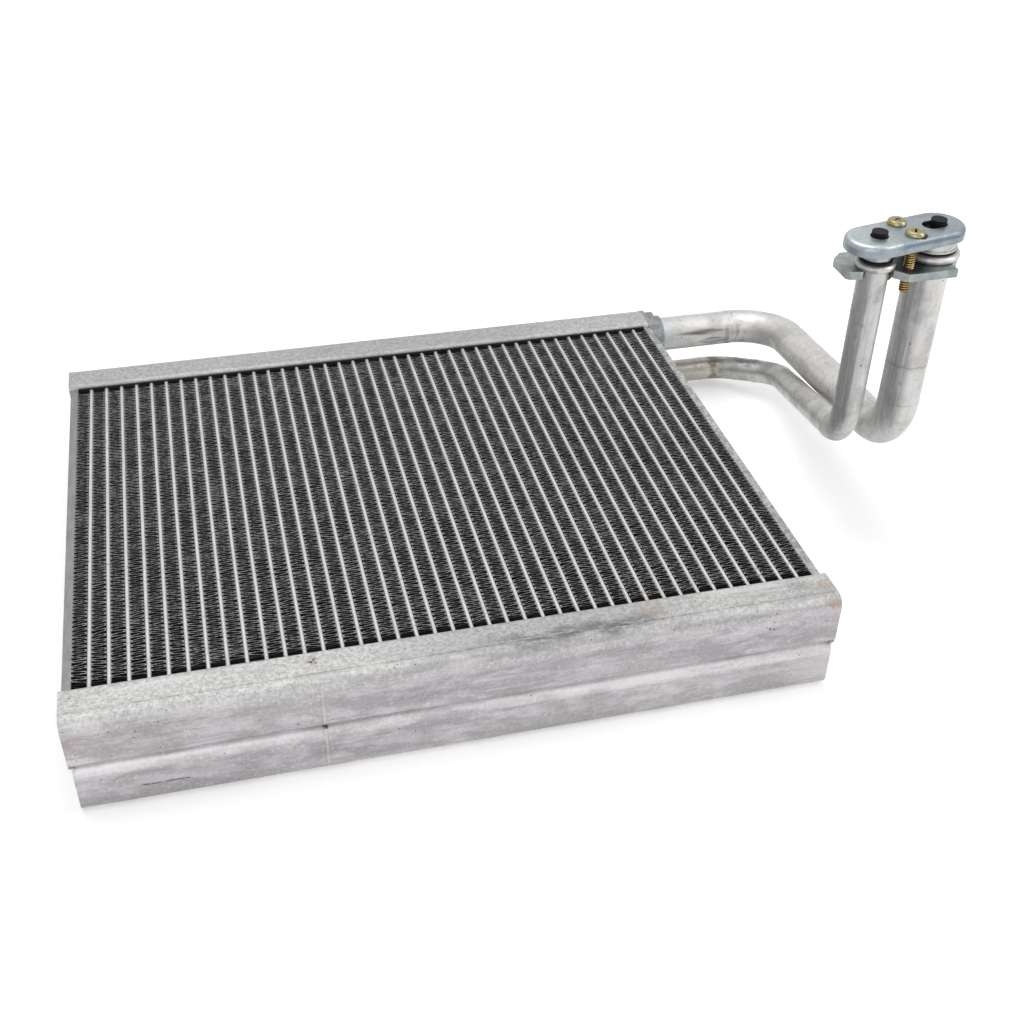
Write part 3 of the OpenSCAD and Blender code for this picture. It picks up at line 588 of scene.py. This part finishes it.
# %% Zinc plating
def zinc(name, metal, cloud_colour, rough, face=0.0):
    """Plated steel; face is the height where the sheet lies flat, and near it the top is painted light.
    """
    f = Finish(name, rough, 0.9)
    cloud = f.noise(7 * mm, 5, 0.6).between(0.4, 0.62)
    crystals = f.cells(0.8 * mm)
    grain = f.noise(0.8 * mm, 4, 0.7)
    rub = f.noise(1.4 * mm, 4, 0.7, f.stretched(0.2, 1, 1)).between(0.54, 0.66)
    colour = f.mix(cloud * 0.6, metal, cloud_colour)
    colour = f.mix(grain.between(0.55, 0.7) * 0.4, colour, (0.72, 0.75, 0.76))
    if face:
        x, z = f.axis("X"), f.axis("Z")
        # painted light on the cap's flat top, strongest at the left
        pale = z.between(face - 1.3 * mm, face) * (0.2 + (1 - x.between(152 * mm, 182 * mm)) * 0.6)
        colour = f.mix(pale, colour, (0.50, 0.545, 0.555))
        colour = f.mix((1 - grain.between(0.32, 0.42)) * 0.4, colour, (0.10, 0.12, 0.13))
        # a painted dark reflection along the rim at the right
        dark_rim = band(z, face - 1.3 * mm, 1.6 * mm) * x.between(166 * mm, 172 * mm)
        colour = f.mix(dark_rim * 0.75, colour, (0.10, 0.13, 0.16))
        rub = rub * z.between(face - 0.2 * mm, face)
    f.colour = f.mix(rub * 0.5, colour, tuple(v * 0.55 for v in metal))
    f.set("Base Color", f.colour)
    f.set("Roughness", rough + cloud * 0.12 + crystals * 0.1)
    f.bump(cloud + rub * 0.3, 0.02 * mm, 0.12)
    return f


cap_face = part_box("shipping_cap")[1].z
cap_finish = zinc("cap_zinc", (0.30, 0.34, 0.37), (0.20, 0.235, 0.26), 0.33, cap_face)
plate_zinc_finish = zinc("plate_zinc", (0.36, 0.39, 0.39), (0.22, 0.245, 0.245), 0.36)
print(f"the cap's flat face is at {cap_face / mm:.1f} mm")

# %% [markdown]
# Between the two pipes the retaining plate lies in the shade of the cap, so it is
# painted dark there as shade. The spot is halfway between the two seal rings and a
# little to the front, and only the plate's top face takes it.

# %% Painted shade on the plate
def painted_shade_spot(f, spot, radius, colour):
    """A soft spot of painted shade on an upper face that lies at the spot's height."""
    face = f.axis("Z").between(spot.z - 0.3 * mm, spot.z - 0.05 * mm)
    f.set("Base Color", f.mix(f.near(tuple(spot), radius) * face * 0.85, f.colour, colour))


ring_middles = [sum(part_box(ring), Vector()) / 2 for ring in ("suction_seal_ring", "liquid_seal_ring")]
spot = sum(ring_middles, Vector()) / 2 - Vector((0, 4 * mm, 0))
spot.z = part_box("retaining_plate")[1].z
# painted shade where the cap hangs over the plate
painted_shade_spot(plate_zinc_finish, spot, 11 * mm, (0.03, 0.035, 0.035))
print("shadowed spot at", [round(v / mm, 1) for v in spot], "mm")

# %% [markdown]
# Yellow zinc shifts between straw, green and pink, so its colour comes from a ramp
# over slow noise. One recipe gives three shades: the heads, the threads painted
# brighter as a highlight, and painted shade at the bottom of the thread and in the
# driver's cross.

# %% Yellow zinc
def yellow_zinc(name, stops):
    f = Finish(name, 0.28, 0.95)
    shift = f.noise(2.4 * mm, 3, 0.6)
    f.set("Base Color", f.node("ShaderNodeValToRGB", {"stops": stops}, {0: shift}))
    f.set("Roughness", 0.26 + shift * 0.2)
    f.bump(f.noise(0.5 * mm), 0.02 * mm, 0.5)
    return f


head_finish = yellow_zinc("yellow_zinc", [(0.36, (0.31, 0.23, 0.10)), (0.48, (0.34, 0.31, 0.16)),
                                          (0.6, (0.27, 0.30, 0.18)), (0.7, (0.36, 0.24, 0.21))])
# the same zinc painted brighter, as a highlight on the thread
lit_thread_finish = yellow_zinc("lit_thread_zinc", [(0.4, (0.56, 0.38, 0.14)), (0.6, (0.72, 0.56, 0.28))])
shade_finish = yellow_zinc("shaded_zinc", [(0.4, (0.035, 0.022, 0.008)), (0.6, (0.07, 0.045, 0.018))])
print("finishes:", head_finish.material.name, lit_thread_finish.material.name, shade_finish.material.name)

# %% [markdown]
# The seal rings and the plugs are black rubber. It hardly shines, and the dust on
# it is what shows its form.

# %% Rubber
def rubber():
    f = Finish("black_rubber", 0.4, 0.0)
    f.set("Specular IOR Level", 0.12)
    dust = f.noise(1.2 * mm, 4, 0.7).between(0.5, 0.75)
    f.set("Base Color", f.mix(dust * 0.4, (0.006, 0.006, 0.006), (0.05, 0.048, 0.045)))
    f.set("Roughness", 0.5 + dust * 0.25)
    f.bump(dust, 0.05 * mm, 0.5)
    return f


rubber_finish = rubber()
print("finish:", rubber_finish.material.name)

# %% [markdown]
# Each CAD node gets its finish by name. The plate and the plugs have hard corners
# in the CAD mesh, so a narrow Bevel modifier rounds them: a modifier leaves the
# mesh itself as it is, and a corner that catches a line of light looks real.

# %% Dress the CAD nodes
def dress(node, finish, bevel=0.0, segments=2):
    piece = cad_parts[node]
    piece.data.materials.clear()
    piece.data.materials.append(finish.material)
    if bevel:
        corner = piece.modifiers.new("worn_corner", "BEVEL")
        corner.width, corner.segments, corner.limit_method = bevel, segments, "ANGLE"
        corner.angle_limit = math.radians(50)
        corner.harden_normals = True
    return piece


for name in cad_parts:
    if name.endswith(("_tank", "_header_plate", "_end_cap", "_baffle")):
        dress(name, tank_finish)
for name in ("left_side_plate", "right_side_plate"):
    dress(name, side_finish)
for row in ("upper", "lower"):
    for side in ("left", "right"):
        dress(f"{row}_tubes_{side}_of_baffle", tube_finish)
dress("suction_pipe", suction_finish)
dress("liquid_pipe", liquid_finish)
for name in ("suction_seal_ring", "liquid_seal_ring"):
    dress(name, rubber_finish)
for name in ("suction_plug", "liquid_plug"):
    dress(name, rubber_finish, 0.9 * mm, 4)
dress("port_block", block_finish)
dress("retaining_plate", plate_zinc_finish, 0.35 * mm)
dress("shipping_cap", cap_finish)
dress("cap_screws", head_finish)
print("dressed", len(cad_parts), "nodes")

# %% [markdown]
# ## Fins
# A fin is one long strip of foil, folded back and forth between two tubes, with
# rows of slits whose strips are twisted open so that air crosses the foil. Only
# one fold is modelled. An Array modifier repeats it along the tube, and a second
# one carries the finished fin to the next gap, so the mesh stays small.

# %% Fin sizes
gap = pitch - tube_t
fold = 2.2 * mm
folds = int((fin_end - fin_start) / fold)
foil = 0.12 * mm
louvre = 1.5 * mm
louvre_tilt = 0.28 * mm
louvred_depth = 12 * mm
louvre_rim = 0.7 * mm
louvre_rows = int(louvred_depth / louvre)
# shares of a web's width that the louvres take, and of a louvre's height that its strip takes
louvred_width, strip_height = (0.07, 0.93), (0.08, 0.92)
print(f"fins: gap {gap / mm:.2f} mm, {folds} folds of {fold / mm} mm")

# %% [markdown]
# The fold's path is a narrow U: a web runs nearly straight across the gap, a half
# circle turns it at the tube, the next web runs back beside the first, and a
# second half circle leads into the next fold.

# %% One fold of foil
turn_r = 0.16 * fold
turn_steps = 4


def fold_path():
    near, far = foil / 2 + turn_r, gap - foil / 2 - turn_r
    path = [Vector((near, 0, 0))]
    for middle, side, end in ((far, 1, fold / 2), (near, -1, fold)):
        for k in range(turn_steps + 1):
            angle = math.pi * (k / turn_steps - 0.5)
            y = end - turn_r + turn_r * math.sin(angle)
            path.append(Vector((middle + side * turn_r * math.cos(angle), y, 0)))
    return path


print("one fold has", len(fold_path()), "points")

# %% [markdown]
# Seen from here foil has no thickness, so a web is one quad, and only its upper
# and lower edges have a width, because the camera looks at them. A louvred web is
# a stack of strips with slits between them, and each strip leans.

# %% Foil mesh
class Sheet:
    def __init__(self):
        self.points, self.faces = [], []

    def quad(self, *corners):
        first = len(self.points)
        self.points += corners
        self.faces.append(range(first, first + 4))

    def upright(self, a, b, low, high, lean=Vector()):
        up = Vector((0, 0, 1))
        self.quad(a + up * low - lean, b + up * low - lean, b + up * high + lean, a + up * high + lean)

    def edge(self, a, b, z):
        across = (b - a).cross(Vector((0, 0, 1))).normalized() * foil / 2
        up = Vector((0, 0, z))
        self.quad(a - across + up, b - across + up, b + across + up, a + across + up)


def fold_mesh(name, origin):
    sheet = Sheet()
    low, high = core_bottom + 0.1 * mm, core_top - 0.1 * mm
    path = [origin + point for point in fold_path()]
    for a, b in zip(path, path[1:]):
        sheet.edge(a, b, low)
        sheet.edge(a, b, high)
        if (b - a).length < gap / 2:
            sheet.upright(a, b, low, high)
            continue
        c, d = (a.lerp(b, share) for share in louvred_width)
        sheet.upright(a, c, low, high)
        sheet.upright(d, b, low, high)
        lean = (b - a).cross(Vector((0, 0, 1))).normalized() * louvre_tilt
        for start, way in ((high - louvre_rim, -1), (low + louvre_rim, 1)):
            sheet.upright(c, d, *sorted((start, start - way * louvre_rim)))
            for k in range(louvre_rows):
                z = sorted(start + way * (k + share) * louvre for share in strip_height)
                sheet.upright(c, d, *z, lean * way)
        middle_low = low + louvre_rim + louvre_rows * louvre
        sheet.upright(c, d, middle_low, high - louvre_rim - louvre_rows * louvre)
    mesh = bpy.data.meshes.new(name)
    mesh.from_pydata(sheet.points, [], sheet.faces)
    mesh.materials.append(fin_finish.material)
    return mesh


# %% [markdown]
# Real fins are never quite even. Two Displace modifiers push the foil along the
# tubes: one slightly and everywhere, and one further in a few places, where
# something has leaned on the fins.

# %% Uneven fins
def cloud_texture(name, size, contrast, level):
    made = bpy.data.textures.new(name, "CLOUDS")
    made.noise_scale, made.contrast, made.intensity = size, contrast, level
    return made


uneven = cloud_texture("uneven_folds", 5 * mm, 1.0, 1.0)
pressed = cloud_texture("pressed_folds", 11 * mm, 4.0, 0.25)
fin_groups = [name for name in sorted(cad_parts) if name.startswith("fin_group")]
print("groups of fins:", len(fin_groups))

# %% [markdown]
# Each group of fins becomes one piece that takes the place of its CAD node. The
# node's box says where the first gap starts and how many gaps there are.

# %% Fins in place
def repeat(piece, count, step):
    array = piece.modifiers.new("repeat", "ARRAY")
    array.count, array.use_relative_offset, array.use_constant_offset = count, False, True
    array.constant_offset_displace = step


def push(piece, texture, amount, middle):
    wave = piece.modifiers.new("push", "DISPLACE")
    wave.texture, wave.texture_coords, wave.direction = texture, "GLOBAL", "Y"
    wave.strength, wave.mid_level = amount, middle


fin_pieces = []
for node in fin_groups:
    low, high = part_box(node)
    count = round((high.x - low.x + tube_t) / pitch)
    origin = Vector((low.x, low.y + (high.y - low.y - folds * fold) / 2, 0))
    piece = bpy.data.objects.new("louvred_" + node, fold_mesh("louvred_" + node, origin))
    bpy.context.scene.collection.objects.link(piece)
    repeat(piece, folds, (0, fold, 0))
    repeat(piece, count, (pitch, 0, 0))
    push(piece, uneven, 0.5 * mm, 0.5)
    push(piece, pressed, 0.9 * mm, 0.0)
    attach(piece, "root")
    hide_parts(node)
    fin_pieces.append(piece)
fold_faces = len(fin_pieces[0].data.polygons)
gaps = sum(round((size_of(node).x + tube_t) / pitch) for node in fin_groups)
print("fins in", gaps, "gaps, with", fold_faces * folds * gaps, "faces")

# %% [markdown]
# ## Screws
# The CAD screws are smooth rods. These have a real thread: the surface is a grid
# of rings, and each ring's radius rises and falls with its height and with the
# angle, which winds the ridge into a helix. The pan head is a grid too, pressed in
# along a cross for the driver.

# %% Screw sizes
thread_pitch, thread_r, thread_depth = 0.95 * mm, 2 * mm, 0.5 * mm
thread_sides, steps_per_turn = 24, 8
head_r, head_h = 3.55 * mm, 1.9 * mm
head_sides, head_rings = 96, 40
cross_long, cross_wide, cross_deep = 2.0 * mm, 0.42 * mm, 1.2 * mm
print(f"threads {2 * thread_r / mm:.1f} mm thick, heads {2 * head_r / mm:.1f} mm wide")

# %% [markdown]
# A grid joins each ring of points to the last one. The head's height is a function
# of the place on it: a dome that drops at its rim, less two crossing grooves.

# %% Grid and pan head
def grid(points, columns, faces, rings, close):
    """Adds rings of points and joins each ring to the last one with quads."""
    first = len(points)
    for ring in rings:
        points += ring
    for row in range(len(rings) - 1):
        for k in range(columns):
            a, b = first + row * columns + k, first + row * columns + (k + 1) % columns
            faces.append((a, b, b + columns, a + columns))
    if close:
        faces.append(tuple(range(first + columns - 1, first - 1, -1)))


def head_height(r, angle):
    """Height of the pan head over its seat, with the cross pressed in."""
    out = r / head_r
    dome = head_h * (1 - 0.16 * out ** 2) - head_h * 0.55 * max(0.0, (out - 0.72) / 0.28) ** 2.4
    u, v = abs(r * math.cos(angle)), abs(r * math.sin(angle))
    pressed_in = 0.0
    for wide, long in ((u, v), (v, u)):
        inside = min((cross_wide - wide) / (0.2 * mm), (cross_long - long) / (0.7 * mm), 1.0)
        pressed_in = max(pressed_in, inside)
    return dome - cross_deep * max(0.0, pressed_in)


print(f"the cross is {(head_height(head_r * 0.5, 0.8) - head_height(0, 0)) / mm:.2f} mm deep")

# %% [markdown]
# The shaft's rings follow the thread and end in a closed tip. The head starts with
# its underside and then closes in on the middle. The root of the thread and the
# driver's cross lie in the dark, so their faces take the shaded finish.

# %% Screw mesh
def thread_rings(centre, seat, tip):
    count = round((seat - tip) / (thread_pitch / steps_per_turn))
    rings = []
    for row in range(count + 1):
        z = tip + (seat - tip) * row / count
        worn = min(1.0, (z - tip) / (0.6 * mm))
        ring = []
        for k in range(thread_sides):
            angle = 2 * math.pi * k / thread_sides
            phase = (z / thread_pitch - k / thread_sides) % 1
            r = thread_r - thread_depth * (1 - worn * min(1.0, 2.4 * min(phase, 1 - phase)))
            ring.append(centre + Vector((r * math.cos(angle), r * math.sin(angle), z)))
        rings.append(ring)
    return rings


def head_ring(centre, r, height_at):
    """A ring of points round the head, at the height that height_at gives for an angle."""
    angles = [2 * math.pi * k / head_sides for k in range(head_sides)]
    return [centre + Vector((r * math.cos(a), r * math.sin(a), height_at(a))) for a in angles]


def screw_mesh(name, centre, seat, tip, turn):
    points, faces = [], []
    grid(points, thread_sides, faces, thread_rings(centre, seat, tip), True)
    shaft_faces = len(faces)
    underside = ((thread_r * 0.9, 0.0), (head_r * 0.97, 0.0), (head_r, 0.05 * mm))
    rings = [head_ring(centre, r, lambda a: seat + z) for r, z in underside]
    for row in range(head_rings, -1, -1):
        r = max(head_r * row / head_rings, 0.01 * mm)
        rings.append(head_ring(centre, r, lambda a: seat + head_height(r, a + turn)))
    grid(points, head_sides, faces, rings, False)
    mesh = bpy.data.meshes.new(name)
    mesh.from_pydata(points, [], faces)
    for finish in (lit_thread_finish, head_finish, shade_finish):
        mesh.materials.append(finish.material)
    for face in mesh.polygons:
        middle, on_shaft = face.center - centre, face.index < shaft_faces
        r = math.hypot(middle.x, middle.y)
        root = on_shaft and r < thread_r - thread_depth * 0.5
        deep = seat + 0.2 * mm < middle.z < seat + 0.8 * head_h
        recess = not on_shaft and r < 0.7 * head_r and deep
        face.use_smooth = not on_shaft
        # the shaft takes the brighter finish, a painted highlight, and the thread's root and the cross
        # take the painted shade
        face.material_index = 2 if root or recess else 0 if on_shaft else 1
    return mesh


# %% [markdown]
# The tips of the two CAD screws say where the screws stand: the lowest points are
# sorted into a front and a back tip, and each tip's box gives its middle.

# %% Screws in place
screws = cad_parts["cap_screws"]
tip_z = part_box("cap_screws")[0].z
tips_seen = [screws.matrix_world @ v.co for v in screws.data.vertices]
tips_seen = [v for v in tips_seen if v.z < tip_z + 0.2 * mm]
tips_middle = sum(v.y for v in tips_seen) / len(tips_seen)
for label, front, turn in (("front", True, 0.5), ("back", False, 1.1)):
    one_tip = [v for v in tips_seen if (v.y < tips_middle) == front]
    box = [(min(v[i] for v in one_tip), max(v[i] for v in one_tip)) for i in (0, 1)]
    centre = Vector((sum(box[0]) / 2, sum(box[1]) / 2, 0))
    name = f"{label}_cap_screw"
    screw = bpy.data.objects.new(name, screw_mesh(name, centre, cap_face, tip_z, turn))
    bpy.context.scene.collection.objects.link(screw)
    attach(screw, "root")
    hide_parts("cap_screws")
    print(name, "faces:", len(screw.data.polygons))

# %% [markdown]
# ## Studio
# The camera stands where the photographer's stood. Its place was worked out from
# the straight edges of the tanks and from the even spacing of the tubes.

# %% Camera
camera_at = Vector((-71.1, -326.3, 342.9)) * mm
camera_yaw, camera_pitch, camera_roll = -14.66, 53.57, 0.99
camera = bpy.data.objects.new("camera", bpy.data.cameras.new("camera"))
bpy.context.scene.collection.objects.link(camera)
bpy.context.scene.camera = camera
camera.data.sensor_width, camera.data.lens = 36, 46.47
camera.data.clip_start = 0.01
turns = [Matrix.Rotation(math.radians(a), 4, axis) for a, axis in
         ((camera_yaw, "Z"), (camera_pitch, "X"), (camera_roll, "Z"))]
camera.matrix_world = Matrix.Translation(camera_at) @ turns[0] @ turns[1] @ turns[2]
print("the camera stands at", [round(v / mm) for v in camera_at], "mm")

# %% [markdown]
# Bare metal shows what is around it, so the light comes from wide soft boxes: one
# overhead for the flat tops, one low in front for the tank faces, and a narrow
# one on the right that draws the bright line down each pipe.

# %% Lamps
def soft_box(name, at, towards, width, height, watts):
    lamp = bpy.data.lights.new(name, "AREA")
    lamp.shape, lamp.size, lamp.size_y, lamp.energy = "RECTANGLE", width, height, watts
    box = bpy.data.objects.new(name, lamp)
    box.location = at
    box.rotation_euler = (Vector(towards) - Vector(at)).to_track_quat("-Z", "Y").to_euler()
    bpy.context.scene.collection.objects.link(box)


part_middle = (cad_low + cad_high) / 2
soft_box("overhead", (-0.1, 0.35, 1.3), part_middle, width=1.0, height=1.0, watts=9)
soft_box("front", (-0.5, -1.1, 0.55), part_middle, width=0.9, height=0.5, watts=4)
soft_box("side", (1.1, -0.3, 0.7), part_middle, width=0.25, height=1.0, watts=5)
print("lamps:", len(bpy.data.lights))

# %% [markdown]
# The background is white to the camera and to reflections, but weak as a lamp, so
# the metal keeps its shadows. Light Path tells the shader who is asking.

# %% World
def only_seen(tree):
    """1 for rays that look at a thing or mirror it, 0 for rays that light others."""
    path = tree.nodes.new("ShaderNodeLightPath")
    seen = path.outputs["Is Camera Ray"]
    for ray in ("Is Glossy Ray", "Is Transmission Ray"):
        either = tree.nodes.new("ShaderNodeMath")
        either.operation = "MAXIMUM"
        tree.links.new(seen, either.inputs[0])
        tree.links.new(path.outputs[ray], either.inputs[1])
        seen = either.outputs[0]
    return seen


world = bpy.data.worlds.new("studio")
bpy.context.scene.world = world
world.use_nodes = True
tree = world.node_tree
strength = tree.nodes.new("ShaderNodeMapRange")
strength.inputs["To Min"].default_value = 0.35
strength.inputs["To Max"].default_value = 1.0
tree.links.new(only_seen(tree), strength.inputs["Value"])
tree.links.new(strength.outputs[0], tree.nodes["Background"].inputs["Strength"])
tree.nodes["Background"].inputs["Color"].default_value = (1, 1, 1, 1)
print("as a lamp the world has a strength of", round(strength.inputs["To Min"].default_value, 2))

# %% [markdown]
# The floor glows a little for the same rays: enough for white where light falls
# on it, and not enough to drown the soft shadow of the part. Far out, where the
# lamps don't reach, it glows fully.

# %% Floor
reach = 3.0
corners = [(-reach, -reach, 0), (reach, -reach, 0), (reach, reach, 0), (-reach, reach, 0)]
floor_mesh = bpy.data.meshes.new("floor")
floor_mesh.from_pydata(corners, [], [(0, 1, 2, 3)])
floor = bpy.data.objects.new("floor", floor_mesh)
floor.location.z = cad_low.z - 0.05 * mm
bpy.context.scene.collection.objects.link(floor)

paper = Finish("paper", 0.9, 0.0)
paper.set("Base Color", (0.9, 0.9, 0.9))
far = paper.node("ShaderNodeVectorMath", {"operation": "LENGTH"}, {0: paper.place}, out="Value")
sockets = {"Value": far, "From Min": 0.5, "From Max": 1.5, "To Min": 0.32, "To Max": 1.0}
glow = paper.node("ShaderNodeMapRange", None, sockets)
paper.set("Emission Color", Socket(paper, only_seen(paper.tree)) * glow)
paper.set("Emission Strength", 1)
floor_mesh.materials.append(paper.material)
print("floor at", round(floor.location.z / mm, 2), "mm")

# %% [markdown]
# The Standard view shows colours as they are written.

bpy.context.scene.view_settings.view_transform = "Standard"
